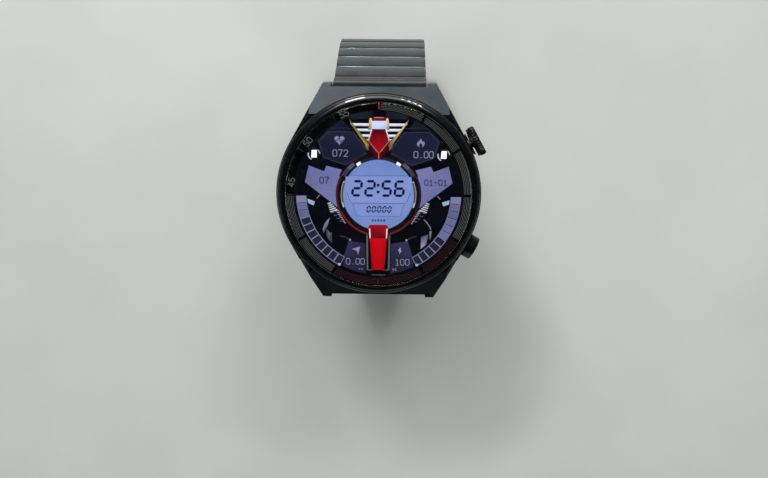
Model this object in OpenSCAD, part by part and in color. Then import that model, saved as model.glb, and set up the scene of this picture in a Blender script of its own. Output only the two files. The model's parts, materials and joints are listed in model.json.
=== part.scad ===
// Round-cased smartwatch on a closed full-width-link bracelet.
// Millimetres. +Z is the dial normal, +Y points to 12 o'clock, +X to the crown side at 3 o'clock.
// The origin is on the case axis, on the flat outer face of the closed clasp that the watch stands on.

/* [Case] */
// Radius of the round part of the case
case_r = 23; // [21:0.5:25]
// Half of the length across the flat lug ends
lug_y = 24.5; // [23.5:0.1:26]
// Half of the width of a flat lug end
lug_x = 12.7; // [12.2:0.1:14]
// Height of the case middle
case_h = 9; // [8.5:0.1:11]
// Distance from the dial centre to the crease where a lug facet starts
crease_y = 18; // [16:0.5:19]
// Downward slope of a lug facet, in degrees
facet_slope = 21; // [10:1:25]

/* [Glass] */
// Outer radius of the bezel ring
bezel_r = 22.8; // [21.5:0.1:24]
// Radius of the cover glass
glass_r = 20.9; // [20:0.1:21.5]
// Height of the glass top above the case underside
glass_top = 11; // [10.5:0.1:12.5]
// Radius of the lit display area
display_r = 19; // [17:0.1:19.2]

/* [Crown and button] */
// Radius of the knurled crown cap
crown_r = 3.45; // [3:0.05:4]
// Distance from the case axis to the crown's outer face
crown_face = 25.7; // [25.2:0.1:26.5]
// How far the crown's axis sits along its flank towards 6 o'clock
crown_shift = 0.4; // [0:0.1:0.8]
// Radius of the push-button cap
button_r = 2.7; // [2.3:0.1:3.2]
// Distance from the case axis to the button's outer face
button_face = 25.6; // [24.5:0.1:26]
// How far the button's axis sits along its flank towards 6 o'clock
button_shift = 0.9; // [0:0.1:1.5]
// Height of both axes above the case underside
stem_w = 4.9; // [4.7:0.1:5.2]

/* [Bracelet] */
// Width of the bracelet
band_w = 21; // [20:0.1:21.2]
// Distance between neighbouring pivots
pitch = 6.6; // [6.3:0.1:7.5]
// Thickness of a link above its pivot line, on the outer side
link_out = 1.85; // [1.7:0.05:2]
// Thickness of a link below its pivot line, on the wrist side
link_in = 1.15; // [1.1:0.05:1.2]
// Half of the gap between two links
half_gap = 0.175; // [0.15:0.005:0.2]

/* [Clasp] */
// Distance from the clasp centre to the pivot at each of its ends
clasp_half = 15.67; // [15.6:0.01:16.5]
// Height of the end pivots above the clasp's outer face
clasp_pivot_z = 3.3; // [3.3:0.05:3.6]
// Thickness of the clasp cover plate
cover_t = 1; // [0.8:0.05:1]

/* [Hidden] */
$fn = 96;
far = 60;

// direction of each link, as degrees outward from straight down, from the case to the clasp
lean = [17, 17, 15, 10, 3, -10, -28, -47, -66];
links = len(lean);
// running places of the pivots, counted back from the clasp's pivot
function below(i) = i >= links ? [clasp_half, clasp_pivot_z]
    : below(i + 1) - pitch * [sin(lean[i]), -cos(lean[i])];
pivot = [for (i = [0 : links]) below(i)];

// spring bar: distance from the dial centre and height above the case underside
bar_y = 22.7;
bar_w = 3.4;
end_reach = 6.9;
case_z = pivot[0][1] + end_reach - bar_w;
end_lean = atan2(pivot[0][0] - bar_y, end_reach);
end_len = norm([pivot[0][0] - bar_y, end_reach]);

// outward direction of the two straight flanks that the crown and the button stand on
flank = atan2(lug_y, lug_x) - acos(case_r / norm([lug_x, lug_y]));

// cavity of the case and the seats for back and display
low_cavity_r = 19.2;
top_cavity_r = 20.4;
top_cavity_w = 5.8;
seat_w = 8;
back_r = 18.6;
back_t = 1.2;
notch_half = band_w / 2 + 0.25;
notch_in = 20.6;
notch_top = 5.4;
lip_y = 23.8;

// pins, knuckles and their running clearances
pin_r = 0.5;
knuckle_r = 1.05;
pocket_r = 1.13;
bore_run = 0.05;
pin_fit = 0.01;
tongue_half = 5;
side_play = 0.12;
bar_r = 0.9;
bar_tip_r = 0.7;
end_round_r = 1.85;
edge_bevel = 0.6;
seam = 0.02;

// crown and button stems
stem_r = 1;
tube_r = 2.3;
tube_in = 19.9;
tube_flange_t = 0.4;
wall_out = case_r;
clip_t = 0.4;
clip_r = 1.75;
push_gap = 0.7;
ring_t = 0.5;

// clasp hinges: [distance along Y, height]
cover_hinge = [-13.3, 1.15];
fold_hinge = [12.6, 2.35];
blade_half = 8;
blade_t = 0.8;
wall_x = 9.4;
wall_h = 4.1;
catch_sweep_r = 4.4;
catch_reach = pitch - knuckle_r - 0.17;
pusher_y = 3.5;

metal = "#3c4043";
dark_metal = "#23272b";
gloss = "#08090b";
red = "#b0101c";
steel = "#7d8388";
green = "#1f4d33";
gold = "#b08a3a";
rubber = "#151515";

// ---- helpers ----

module at_case(w = 0) {
    translate([0, 0, case_z + w]) children();
}

// a round rod along X through a point of the Y-Z plane
module rod(y, z, r, x0, x1) {
    translate([x0, y, z]) rotate([0, 90, 0]) cylinder(r = r, h = x1 - x0);
}

// the same rod on both sides of the middle plane
module rods(y, z, r, x0, x1) {
    for (s = [0, 1]) mirror([s, 0, 0]) rod(y, z, r, x0, x1);
}

module box(x, y, z) {
    translate([x[0], y[0], z[0]]) cube([x[1] - x[0], y[1] - y[0], z[1] - z[0]]);
}

// children at the crown's or the button's axis, with +X outward along it, from the case underside
module stem_place(side) {
    translate([0, 0, stem_w]) rotate([0, 0, side * flank])
        translate([0, side > 0 ? -crown_shift : -button_shift, 0]) children();
}

// children with +Z turned outward along the crown's or the button's axis
module on_flank(side) {
    at_case() stem_place(side) rotate([0, 90, 0]) children();
}

module disc(r, from, to) {
    translate([0, 0, from]) cylinder(r = r, h = to - from);
}

module ring(r_out, r_in, from, to) {
    difference() {
        disc(r_out, from, to);
        disc(r_in, from - 1, to + 1);
    }
}

// a Y-Z outline extruded across the width
module across(half_w) {
    rotate([90, 0, 90]) translate([0, 0, -half_w]) linear_extrude(2 * half_w) children();
}

// children in the frame of link number i: Y along the chain, Z outward
module in_link(i) {
    translate([0, pivot[i][0], pivot[i][1]]) rotate([lean[i] - 90, 0, 0]) children();
}

module six_side() {
    mirror([0, 1, 0]) children();
}

// ---- case ----

module case_outline() {
    circle(r = case_r);
    tangent = case_r * [cos(flank), sin(flank)];
    polygon([
        [lug_x, lug_y], [-lug_x, lug_y], [-tangent[0], tangent[1]], [-tangent[0], -tangent[1]],
        [-lug_x, -lug_y], [lug_x, -lug_y], [tangent[0], -tangent[1]], [tangent[0], tangent[1]]
    ]);
}

// the slanted upper facet of the lug end at 12 o'clock
module lug_facet_cut() {
    translate([0, crease_y, case_h]) rotate([-facet_slope, 0, 0])
        translate([-far / 2, 0, 0]) cube([far, far, far]);
}

// the slanted lower facet of the same lug end
module lug_under_cut() {
    translate([0, lug_y - 2.4, 0]) rotate([40, 0, 0])
        translate([-far / 2, 0, -far]) cube([far, far, far]);
}

// bevel along the top edge of a straight flank, clear of the bezel ring
module flank_bevel() {
    rotate([0, 0, flank]) translate([case_r - edge_bevel, 4.5, case_h])
        rotate([0, -45, 0]) translate([0, 0, -far / 2]) cube([far, far, far]);
}

module strap_notch() {
    box([-notch_half, notch_half], [notch_in, far], [-1, notch_top]);
    box([-notch_half, notch_half], [lip_y, far], [-1, far]);
    rods(bar_y, bar_w, bar_tip_r + 0.04, 0, notch_half + 1.1);
}

module case_middle() {
    color(metal) at_case() difference() {
        linear_extrude(case_h) case_outline();
        for (s = [0, 1]) mirror([0, s, 0]) {
            lug_facet_cut();
            lug_under_cut();
            strap_notch();
            for (q = [0, 1]) mirror([q, 0, 0]) flank_bevel();
        }
        disc(back_r + seam, -1, back_t + seam);
        disc(low_cavity_r, back_t, case_h + 1);
        disc(top_cavity_r, top_cavity_w, case_h + 1);
        disc(bezel_r - 0.6, seat_w, case_h + 1);
        for (side = [-1, 1]) stem_place(side) rotate([0, 90, 0]) disc(tube_r, 15, 30);
    }
}

module screw_places() {
    for (a = [45 : 90 : 315]) rotate([0, 0, a]) translate([17, 0, 0]) children();
}

module case_back() {
    color(dark_metal) at_case() difference() {
        union() {
            disc(back_r, 0, back_t);
            disc(12.5, -0.5, back_t);
        }
        disc(9.5, -1, 0.35);
        disc(7.5, -1, back_t + 1);
        screw_places() disc(0.75, -1, back_t + 1);
        screw_places() disc(1.3, -1, 0.55);
        for (x = [-1, 1]) translate([x * 3, -11, 0]) disc(0.8, -1, back_t + 1);
    }
}

module back_screws() {
    color(steel) at_case() screw_places() difference() {
        union() {
            disc(1.2, 0.05, 0.55);
            disc(0.7, 0.05, 2.6);
        }
        for (a = [0, 90]) rotate([0, 0, a]) box([-0.8, 0.8], [-0.12, 0.12], [0, 0.3]);
    }
}

module back_gasket() {
    color(rubber) at_case() ring(low_cavity_r - 0.05, 17.9, back_t + seam, back_t + 0.55);
}

module sensor_window() {
    color("#101418") at_case() intersection() {
        disc(9.4, -2, 0.34);
        translate([0, 0, 30.7]) sphere(r = 32, $fn = 200);
    }
}

module sensor_board() {
    color(green) at_case() {
        disc(6.9, 0.5, 1.1);
        for (a = [0 : 120 : 240]) rotate([0, 0, a]) box([3, 4.6], [-0.8, 0.8], [0.37, 0.49]);
        box([-1.1, 1.1], [-1.1, 1.1], [0.37, 0.49]);
    }
}

module charge_pads() {
    color(gold) at_case() for (x = [-1, 1]) translate([x * 3, -11, 0]) {
        disc(0.78, -0.45, 1.3);
        disc(1.4, 1.3, 1.6);
    }
}

module battery() {
    color("#c4c8cc") at_case() box([-10, 10], [-7.5, 11.5], [1.9, 5.9]);
}

module main_board() {
    color(green) at_case() difference() {
        disc(18.4, 6.2, 6.9);
        box([-far, -14.5], [-6, 6], [5, 8]);
        box([13.6, far], [3, 14], [5, 8]);
        box([13.6, far], [-14, -3], [5, 8]);
    }
}

module board_chips() {
    color("#1b1d20") at_case(6.92) {
        box([-6, 2], [-5, 3], [0, 0.9]);
        box([4, 10], [-3, 3], [0, 0.8]);
        box([-11, -7.5], [5, 9], [0, 0.7]);
        box([-3, 3], [7, 11], [0, 0.7]);
        for (x = [-9 : 3 : 9]) box([x, x + 1.6], [-10, -9.2], [0, 0.5]);
    }
}

module vibration_motor() {
    color(steel) at_case() translate([-6, -12.3, 1.9]) disc(4, 0, 2.8);
}

module speaker() {
    color("#2a2c30") at_case() difference() {
        box([0, 9.8], [-14.5, -8.5], [1.9, 4.9]);
        box([1.2, 8.6], [-13.3, -9.7], [4.5, 6]);
    }
}

module inner_frame() {
    color("#2f3336") at_case() difference() {
        union() {
            rotate_extrude() polygon([
                [18.5, 2.1], [low_cavity_r - 0.1, 2.1], [low_cavity_r - 0.1, top_cavity_w + 0.05],
                [top_cavity_r - 0.1, top_cavity_w + 0.05], [top_cavity_r - 0.1, seat_w - 0.1],
                [18.5, seat_w - 0.1]
            ]);
            screw_places() disc(1.9, 1.85, 3);
        }
        screw_places() disc(0.72, 0, 3.2);
        for (side = [-1, 1]) stem_place(side) box([10, 30], [-3.2, 3.2], [-1.85, 2.3]);
    }
}

module display_panel() {
    color("#0d1018") at_case() disc(display_r + 0.5, 8.1, 9.3);
}

module display_gasket() {
    color(rubber) at_case() ring(glass_r - 0.1, display_r + 0.6, 9.1, 9.42);
}

// flat cover glass with a rounded edge
module cover_glass() {
    color("#05070a") at_case() rotate_extrude() polygon([
        [0, 9.44], [glass_r, 9.44], [glass_r, glass_top - 0.4], [glass_r - 0.1, glass_top - 0.15],
        [glass_r - 0.35, glass_top], [0, glass_top]
    ]);
}

module bezel_ring() {
    color(gloss) at_case() rotate_extrude() polygon([
        [glass_r + seam, seat_w + seam], [bezel_r - 0.62, seat_w + seam], [bezel_r - 0.62, case_h],
        [bezel_r, case_h], [bezel_r, 9.45], [bezel_r - 0.35, 9.85], [bezel_r - 1.1, 10.15],
        [glass_r + seam, 10.25]
    ]);
}

// ---- crown and button ----

// a pressed-in guide tube with its outer flange and a groove for the seal
module guide_tube(flange_r) {
    difference() {
        union() {
            disc(tube_r - pin_fit, tube_in, wall_out);
            disc(flange_r, wall_out, wall_out + tube_flange_t);
        }
        disc(stem_r + bore_run, 0, 30);
        disc(stem_r + 0.85, 20.6, 21.7);
    }
}

module seal() {
    translate([0, 0, 21.15]) rotate_extrude() translate([stem_r + 0.47, 0]) circle(r = 0.36);
}

// spring wire wound between two heights
module coil_spring(r, wire, from, to, turns) {
    steps = 16;
    sides = 6;
    rings = turns * steps;
    points = [for (i = [0 : rings]) for (k = [0 : sides - 1])
        let (a = 360 * i / steps, b = 360 * k / sides, rr = r + wire * cos(b))
        [rr * cos(a), rr * sin(a), from + wire + (to - from - 2 * wire) * i / rings + wire * sin(b)]];
    walls = [for (i = [0 : rings - 1]) for (k = [0 : sides - 1])
        let (n = (k + 1) % sides)
        [(i + 1) * sides + k, (i + 1) * sides + n, i * sides + n, i * sides + k]];
    near = [for (k = [0 : sides - 1]) k];
    last = [for (k = [sides - 1 : -1 : 0]) rings * sides + k];
    polyhedron(points = points, faces = concat(walls, [near, last]));
}

module crown_tube() {
    color(dark_metal) on_flank(1) guide_tube(2.6);
}

module button_tube() {
    color(dark_metal) on_flank(-1) guide_tube(button_r - 0.36);
}

module stem_seals() {
    color(rubber) for (side = [-1, 1]) on_flank(side) seal();
}

// switch block with its contact dome, facing a stem
module switch_block() {
    box([-1.2, 1.2], [-2, 2], [14.9, 16.1]);
    disc(0.9, 16.1, 16.4);
}

module crown_switch() {
    color("#8d9196") on_flank(1) switch_block();
}

module button_switch() {
    color("#8d9196") on_flank(-1) switch_block();
}

// inner ends of the caps, which reach over the tube flanges
crown_back = wall_out + push_gap;
button_back = wall_out + 0.55;

module crown_cap() {
    teeth = 36;
    color(gloss) on_flank(1) difference() {
        union() {
            disc(crown_r, crown_back + ring_t, crown_face - 0.25);
            disc(crown_r - 0.3, crown_face - 0.26, crown_face);
        }
        disc(2.75, 0, crown_face - 0.45);
        for (k = [0 : teeth - 1]) rotate([0, 0, 360 * k / teeth])
            translate([crown_r + 0.1, 0, 0]) disc(0.2, crown_back, crown_face + 1, $fn = 12);
    }
}

module crown_ring() {
    color(red) on_flank(1) ring(crown_r - 0.15, 2.75, crown_back, crown_back + ring_t);
}

module crown_stem() {
    color(steel) on_flank(1) union() {
        disc(stem_r, 18.4, crown_face - 0.45);
        ring(clip_r, stem_r - 0.2, 19.4, 19.4 + clip_t);
    }
}

// the cup that the turning stem stands in, which presses on the switch
module crown_cup() {
    color("#8a7a3a") on_flank(1) difference() {
        disc(1.6, 17.2, 19);
        disc(stem_r + bore_run, 18.35, 20);
    }
}

module crown_spring() {
    color(steel) on_flank(1) coil_spring(2.2, 0.13, 23.45, crown_face - 0.5, 3);
}

module button_cap() {
    color(gloss) on_flank(-1) union() {
        difference() {
            union() {
                disc(button_r, button_back, button_face - 0.2);
                disc(button_r - 0.25, button_face - 0.21, button_face);
            }
            disc(button_r - 0.28, 0, button_back + tube_flange_t);
            disc(2, 0, button_face - 0.45);
        }
        disc(stem_r, 17.2, button_face - 0.3);
    }
}

module button_clip() {
    color(steel) on_flank(-1) ring(clip_r, stem_r, 19.4, 19.4 + clip_t);
}

module button_spring() {
    color(steel) on_flank(-1) coil_spring(1.6, 0.12, 23.45, button_face - 0.5, 2);
}

// ---- bracelet ----

module spring_bars() {
    color(steel) at_case() for (s = [0, 1]) mirror([0, s, 0]) {
        rod(bar_y, bar_w, bar_r, -band_w / 2 - 0.1, band_w / 2 + 0.1);
        rod(bar_y, bar_w, bar_tip_r, -notch_half - 1, notch_half + 1);
    }
}

// side outline of a link from its near pivot at 0 to its far pivot at length l
module link_outline(l) {
    g = half_gap;
    polygon([
        [g, -link_in + 0.8], [g + 0.75, -link_in], [l - g - 0.75, -link_in], [l - g, -link_in + 0.8],
        [l - g, link_out - 0.6], [l - g - 0.35, link_out - 0.15], [l - g - 0.9, link_out],
        [g + 0.9, link_out], [g + 0.35, link_out - 0.15], [g, link_out - 0.6]
    ]);
}

// what the far end of a link needs: pocket for the next tongue, two outer knuckles, bore
module far_end(l) {
    difference() {
        union() {
            difference() {
                children();
                rod(l, 0, pocket_r, -tongue_half - side_play, tongue_half + side_play);
            }
            rods(l, 0, knuckle_r, tongue_half + side_play, band_w / 2 - 0.2);
        }
        rod(l, 0, pin_r + pin_fit, -band_w, band_w);
    }
}

// what the near end needs: pockets for the outer knuckles, the centre tongue and its bore
module near_end() {
    difference() {
        union() {
            difference() {
                children();
                rods(0, 0, pocket_r, tongue_half, band_w);
            }
            rod(0, 0, knuckle_r, -tongue_half, tongue_half);
        }
        rod(0, 0, pin_r + bore_run, -band_w, band_w);
    }
}

module link_pin(l) {
    rod(l, 0, pin_r, -band_w / 2 + 0.35, band_w / 2 - 0.35);
}

module link(i) {
    color(i % 2 == 0 ? metal : "#484d51") in_link(i) {
        far_end(pitch) near_end() across(band_w / 2) link_outline(pitch);
        link_pin(pitch);
    }
}

// the end link: a round eye on the spring bar, two fine ridges across its outer face
module end_link() {
    l = end_len;
    g = half_gap;
    color(metal) translate([0, bar_y, case_z + bar_w]) rotate([end_lean - 90, 0, 0]) {
        difference() {
            far_end(l) difference() {
                union() {
                    across(band_w / 2) polygon([
                        [0, -link_in], [l - g - 0.75, -link_in], [l - g, -link_in + 0.8],
                        [l - g, link_out - 0.6], [l - g - 0.35, link_out - 0.15],
                        [l - g - 0.9, link_out], [0, link_out]
                    ]);
                    rod(0, 0, end_round_r, -band_w / 2, band_w / 2);
                }
                for (y = [1.9, 3.7]) box([-band_w, band_w], [y, y + 0.35], [link_out - 0.25, 5]);
            }
            rod(0, 0, bar_r + 0.07, -band_w, band_w);
        }
        link_pin(l);
    }
}

// the last link at 6 o'clock: its far end is hollowed to let the clasp's end barrel swing past
module catch_link() {
    color(metal) difference() {
        in_link(links - 1) intersection() {
            near_end() across(band_w / 2) link_outline(pitch);
            rod(0, 0, catch_reach, -band_w, band_w);
        }
        rod(-cover_hinge[0], cover_hinge[1], catch_sweep_r, -band_w, band_w);
    }
}

// ---- clasp, in place ----

module clasp_cover() {
    h = cover_hinge;
    color(metal) difference() {
        union() {
            difference() {
                union() {
                    box([-10.4, 10.4], [h[0], clasp_half - 0.77], [0, cover_t]);
                    for (s = [0, 1]) mirror([s, 0, 0])
                        box([wall_x, 10.4], [h[0] + 1.6, 13.4], [0, wall_h]);
                    box([-tongue_half, tongue_half], [13.95, clasp_half - 0.4], [0, 3.3]);
                }
                rod(h[0], h[1], 1.2, -4.1, 4.1);
                rod(clasp_half, clasp_pivot_z, pocket_r, -band_w, -tongue_half);
                rod(clasp_half, clasp_pivot_z, pocket_r, tongue_half, band_w);
                for (s = [0, 1]) mirror([s, 0, 0])
                    box([wall_x - 1, 11], [pusher_y - 2.05, pusher_y + 2.05], [1.75, 3.45]);
            }
            rods(h[0], h[1], 1.15, 4.1, 8.6);
            rod(clasp_half, clasp_pivot_z, knuckle_r, -tongue_half, tongue_half);
        }
        rod(h[0], h[1], pin_r + pin_fit, -band_w, band_w);
        rod(clasp_half, clasp_pivot_z, pin_r + bore_run, -band_w, band_w);
    }
}

module clasp_pins() {
    color(steel) rod(cover_hinge[0], cover_hinge[1], pin_r, -8.4, 8.4);
}

// the lower folding blade, hinged to the cover at the 6 o'clock end
module clasp_blade_outer() {
    a = cover_hinge;
    b = fold_hinge;
    color(steel) difference() {
        union() {
            difference() {
                box([-blade_half, blade_half], [a[0], b[0]], [1.25, 1.25 + blade_t]);
                rods(a[0], a[1], 1.25, 4.05, band_w);
                rod(b[0], b[1], pocket_r, -4.1, 4.1);
                box([-3, 3], [-8, 7], [0, 5]);
            }
            rod(a[0], a[1], 1.1, -4, 4);
            rods(b[0], b[1], knuckle_r, 4.1, blade_half);
        }
        rod(a[0], a[1], pin_r + bore_run, -band_w, band_w);
        rod(b[0], b[1], pin_r + pin_fit, -band_w, band_w);
    }
    color(steel) rod(b[0], b[1], pin_r, -blade_half + 0.2, blade_half - 0.2);
}

// the upper folding blade, with the end barrel that the last link at 6 o'clock is pinned to
module clasp_blade_inner() {
    a = fold_hinge;
    q = -clasp_half;
    color(steel) difference() {
        union() {
            difference() {
                box([-blade_half, blade_half], [q, a[0]], [2.6, 2.6 + blade_t]);
                rods(a[0], a[1], pocket_r + 0.05, 4, band_w);
                box([-3, 3], [-8, 7], [0, 5]);
            }
            rod(a[0], a[1], knuckle_r, -4, 4);
            rod(q, clasp_pivot_z, knuckle_r, -band_w / 2 + 0.2, band_w / 2 - 0.2);
        }
        rod(a[0], a[1], pin_r + bore_run, -band_w, band_w);
        rod(q, clasp_pivot_z, pin_r + pin_fit, -band_w, band_w);
    }
    color(metal) rod(q, clasp_pivot_z, pin_r, -band_w / 2 + 0.35, band_w / 2 - 0.35);
}

// a release pusher in the clasp's side wall: pad outside, shank through the window
module pusher() {
    color(dark_metal) difference() {
        union() {
            box([8.75, 10.9], [pusher_y - 1.95, pusher_y + 1.95], [1.85, 3.35]);
            box([8.75, 9.35], [pusher_y - 2.5, pusher_y + 2.5], [1.85, 3.35]);
        }
        for (y = [-1.2 : 0.8 : 1.2])
            box([10.75, 12], [pusher_y + y - 0.15, pusher_y + y + 0.15], [0, 5]);
    }
}

// ---- nodes ----

case_middle();
case_back();
back_screws();
back_gasket();
sensor_window();
sensor_board();
charge_pads();
battery();
main_board();
board_chips();
vibration_motor();
speaker();
inner_frame();
display_panel();
display_gasket();
cover_glass();
bezel_ring();
crown_tube();
button_tube();
stem_seals();
crown_switch();
button_switch();
spring_bars();
crown_cap();
crown_ring();
crown_stem();
crown_cup();
crown_spring();
button_cap();
button_clip();
button_spring();
end_link();  // end_link_12
for (i = [1 : links]) link(i - 1);
six_side() end_link();  // end_link_6
for (i = [1 : links - 1]) six_side() link(i - 1);
six_side() catch_link();  // link_6_9
clasp_cover();
clasp_pins();
clasp_blade_outer();
clasp_blade_inner();
pusher();  // clasp_pusher_right
mirror([1, 0, 0]) pusher();  // clasp_pusher_left
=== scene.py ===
import json
import math
from math import cos, pi, radians, sin, sqrt

import bmesh
import bpy
from mathutils import Matrix, Vector


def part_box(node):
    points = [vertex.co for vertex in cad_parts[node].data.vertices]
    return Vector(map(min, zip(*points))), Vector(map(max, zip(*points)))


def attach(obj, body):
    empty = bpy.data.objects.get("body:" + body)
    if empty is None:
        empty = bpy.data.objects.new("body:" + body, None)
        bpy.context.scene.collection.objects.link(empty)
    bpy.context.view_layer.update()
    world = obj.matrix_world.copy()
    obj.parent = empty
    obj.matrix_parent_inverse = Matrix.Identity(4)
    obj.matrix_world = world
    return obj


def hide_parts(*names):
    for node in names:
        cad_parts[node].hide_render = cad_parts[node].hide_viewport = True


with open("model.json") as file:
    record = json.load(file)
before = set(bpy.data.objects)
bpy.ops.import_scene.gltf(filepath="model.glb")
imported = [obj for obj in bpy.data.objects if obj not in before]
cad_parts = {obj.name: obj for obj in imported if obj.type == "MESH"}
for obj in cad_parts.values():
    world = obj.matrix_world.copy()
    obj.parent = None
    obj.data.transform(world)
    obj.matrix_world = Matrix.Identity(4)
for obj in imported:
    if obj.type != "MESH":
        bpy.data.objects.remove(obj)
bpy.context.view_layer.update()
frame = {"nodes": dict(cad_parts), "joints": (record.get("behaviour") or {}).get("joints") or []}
JOINTS = {j["name"]: j for j in frame["joints"]}
MM = 0.001
X = Vector((1, 0, 0))


def lin(code, k=1.0):
    """A colour written as hex in sRGB, as scene-linear numbers."""
    out = []
    for i in (0, 2, 4):
        c = int(code[i:i + 2], 16) / 255
        out.append((c / 12.92 if c <= 0.04045 else ((c + 0.055) / 1.055) ** 2.4) * k)
    return (*out, 1.0)


# ---- materials ----

class Nodes:
    """A short way to write a Principled material with procedural detail in object space."""

    def __init__(self, name):
        self.mat = bpy.data.materials.new(name)
        self.mat.use_nodes = True
        self.tree = self.mat.node_tree
        self.bsdf = self.tree.nodes["Principled BSDF"]
        self.coord = self.tree.nodes.new("ShaderNodeTexCoord").outputs["Object"]

    def set(self, **values):
        for key, value in values.items():
            self.bsdf.inputs[key.replace("_", " ")].default_value = value
        return self

    def new(self, kind, **inputs):
        node = self.tree.nodes.new(kind)
        for key, value in inputs.items():
            self.link(value, node.inputs[key.replace("_", " ")])
        return node

    def link(self, value, socket):
        if isinstance(value, bpy.types.NodeSocket):
            self.tree.links.new(value, socket)
        else:
            socket.default_value = value

    def noise(self, scale, stretch=(1, 1, 1), detail=4.0, rough=0.55):
        place = self.new("ShaderNodeMapping", Vector=self.coord)
        place.inputs["Scale"].default_value = stretch
        return self.new("ShaderNodeTexNoise", Vector=place.outputs[0], Scale=scale, Detail=detail,
                        Roughness=rough).outputs[0]

    def span(self, value, low, high, from_low=0.3, from_high=0.7):
        node = self.new("ShaderNodeMapRange", Value=value)
        for key, number in (("From Min", from_low), ("From Max", from_high), ("To Min", low),
                            ("To Max", high)):
            node.inputs[key].default_value = number
        return node.outputs[0]

    def mix(self, factor, a, b):
        node = self.tree.nodes.new("ShaderNodeMix")
        node.data_type = "RGBA"
        self.link(factor, node.inputs[0])
        self.link(a, node.inputs[6])
        self.link(b, node.inputs[7])
        return node.outputs[2]

    def math(self, operation, a, b=0.0):
        node = self.tree.nodes.new("ShaderNodeMath")
        node.operation = operation
        self.link(a, node.inputs[0])
        self.link(b, node.inputs[1])
        return node.outputs[0]

    def colour(self, value):
        self.link(value, self.bsdf.inputs["Base Color"])

    def roughness(self, value):
        self.link(value, self.bsdf.inputs["Roughness"])

    def bump(self, height, strength, distance):
        node = self.new("ShaderNodeBump", Height=height)
        node.inputs["Strength"].default_value = strength
        node.inputs["Distance"].default_value = distance
        self.link(node.outputs[0], self.bsdf.inputs["Normal"])


def metal(name, dark, light, rough=(0.25, 0.4), grain=(1, 12, 12), scale=900, bump=0.12):
    """Brushed or satin metal: fine grain lines, small tone changes and a few rubbed patches."""
    n = Nodes(name).set(Metallic=1.0)
    lines = n.noise(scale, grain, 5.0, 0.6)
    cloud = n.noise(220, (1, 1, 1), 3.0)
    n.colour(n.mix(n.span(cloud, 0.0, 1.0), lin(dark), lin(light)))
    n.roughness(n.math("ADD", n.span(lines, rough[0], rough[1]), n.span(cloud, -0.03, 0.03)))
    n.bump(lines, bump, 0.00002)
    return n.mat


def moulded(name, dark, light, rough=(0.4, 0.6), scale=2500, bump=0.15, metallic=0.0):
    """Moulded or coated stuff: a fine pebbled skin over a faint change of tone."""
    n = Nodes(name).set(Metallic=metallic)
    fine = n.noise(scale, (1, 1, 1), 3.0)
    cloud = n.noise(180, (1, 1, 1), 3.0)
    n.colour(n.mix(n.span(cloud, 0.0, 1.0), lin(dark), lin(light)))
    n.roughness(n.span(fine, rough[0], rough[1]))
    n.bump(fine, bump, 0.00002)
    return n.mat


def lacquered(name, dark, light, coat):
    """Black lacquer over polished metal, faintly uneven, with the lamps sharp in its coat."""
    n = Nodes(name).set(Metallic=0.0, Specular_IOR_Level=0.12, Coat_Weight=coat, Coat_Roughness=0.04)
    cloud = n.noise(160, (1, 1, 1), 3.0)
    n.colour(n.mix(n.span(cloud, 0.0, 1.0), lin(dark), lin(light)))
    n.roughness(n.span(n.noise(1400), 0.25, 0.36))
    n.bump(cloud, 0.05, 0.00001)
    return n.mat


def board(name):
    """Solder-masked board: two tones of green in straight tracks, with small tinned spots."""
    n = Nodes(name).set(Metallic=0.1)
    brick = n.new("ShaderNodeTexBrick", Vector=n.coord, Scale=260.0)
    brick.inputs["Color1"].default_value = lin("17452c")
    brick.inputs["Color2"].default_value = lin("1c5234")
    brick.inputs["Mortar"].default_value = lin("2c7048")
    brick.inputs["Mortar Size"].default_value = 0.03
    spots = n.new("ShaderNodeTexVoronoi", Vector=n.coord, Scale=900.0).outputs[0]
    tin = n.math("LESS_THAN", spots, 0.14)
    n.colour(n.mix(tin, brick.outputs[0], lin("b9bcb8")))
    n.roughness(n.span(n.noise(700), 0.3, 0.45))
    n.bump(spots, 0.2, 0.00003)
    return n.mat


def gold_pad(name):
    n = Nodes(name).set(Metallic=1.0)
    lines = n.noise(1500, (1, 8, 1), 4.0)
    n.colour(n.mix(n.span(lines, 0, 1), lin("c79a44"), lin("dcb765")))
    n.roughness(n.span(lines, 0.18, 0.32))
    n.bump(lines, 0.1, 0.00001)
    return n.mat


def clear_glass(name):
    """Clear mineral glass: a faint streaked wipe mark shows in its tint."""
    n = Nodes(name).set(Transmission_Weight=1.0, IOR=1.46)
    n.bsdf.inputs["Roughness"].default_value = 0.0
    n.colour(n.mix(n.span(n.noise(90, (1, 3, 1), 3.0), 0, 1), (1, 1, 1, 1), (0.98, 0.985, 0.99, 1)))
    return n.mat


def matt_print(name):
    """Black print on the underside of the glass."""
    n = Nodes(name).set(Specular_IOR_Level=0.1)
    cloud = n.noise(300)
    n.colour(n.mix(n.span(cloud, 0, 1), lin("020304"), lin("050608")))
    n.roughness(n.span(cloud, 0.6, 0.75))
    return n.mat


def smoked_glass(name):
    n = Nodes(name).set(Metallic=0.0, Coat_Weight=0.6, Coat_Roughness=0.05)
    n.colour(n.mix(n.span(n.noise(140), 0, 1), lin("08090c"), lin("111419")))
    n.roughness(n.span(n.noise(600), 0.06, 0.14))
    return n.mat


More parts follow.
